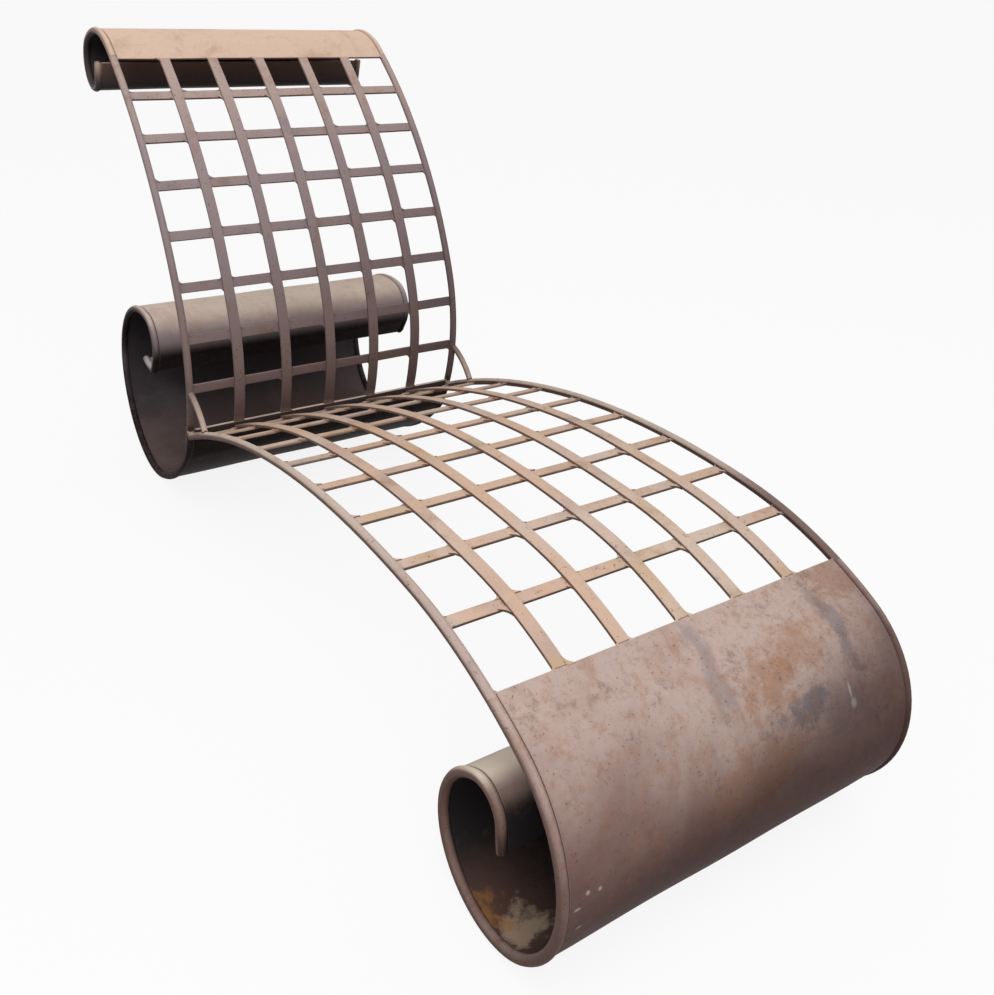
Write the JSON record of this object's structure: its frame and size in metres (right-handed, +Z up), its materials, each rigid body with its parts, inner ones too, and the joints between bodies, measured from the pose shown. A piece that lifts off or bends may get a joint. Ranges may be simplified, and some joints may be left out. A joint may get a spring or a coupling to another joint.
{
  "type": "chaise longue",
  "caption": "Iron chaise longue: flat bar lattice seat and raised back, bent to one flowing line, with rolled plate scrolls at head, rear and foot.",
  "frame": {"origin": "on the floor, midway along the overall length and the width", "axes": "+Z up, +Y along the length from the foot end to the head end, +X across the width"},
  "size_m": [0.606, 1.749, 0.9205],
  "materials": {
    "plate_iron": "weathered bare iron plate, warm brown patina with rust bloom and worn pale edges",
    "bar_iron": "weathered bare iron bar, pinkish brown patina, darker at the edges and welds"
  },
  "bodies": {
    "root": {"back_cross_bar_1": "bar_iron", "back_cross_bar_2": "bar_iron", "back_cross_bar_3": "bar_iron", "back_cross_bar_4": "bar_iron", "back_cross_bar_5": "bar_iron", "back_cross_bar_6": "bar_iron", "back_cross_bar_7": "bar_iron", "back_edge_bar_left": "bar_iron", "back_edge_bar_right": "bar_iron", "back_long_bar_1": "bar_iron", "back_long_bar_2": "bar_iron", "back_long_bar_3": "bar_iron", "back_long_bar_4": "bar_iron", "back_long_bar_5": "bar_iron", "brace_left": "bar_iron", "brace_right": "bar_iron", "front_scroll": "plate_iron", "head_scroll": "plate_iron", "rear_edge_bar_left": "bar_iron", "rear_edge_bar_right": "bar_iron", "rear_scroll": "plate_iron", "seat_cross_bar_1": "bar_iron", "seat_cross_bar_2": "bar_iron", "seat_cross_bar_3": "bar_iron", "seat_cross_bar_4": "bar_iron", "seat_cross_bar_5": "bar_iron", "seat_cross_bar_6": "bar_iron", "seat_cross_bar_7": "bar_iron", "seat_cross_bar_8": "bar_iron", "seat_edge_bar_left": "bar_iron", "seat_edge_bar_right": "bar_iron", "seat_long_bar_1": "bar_iron", "seat_long_bar_2": "bar_iron", "seat_long_bar_3": "bar_iron", "seat_long_bar_4": "bar_iron", "seat_long_bar_5": "bar_iron", "seat_rear_rail": "bar_iron"}
  },
  "joints": []
}
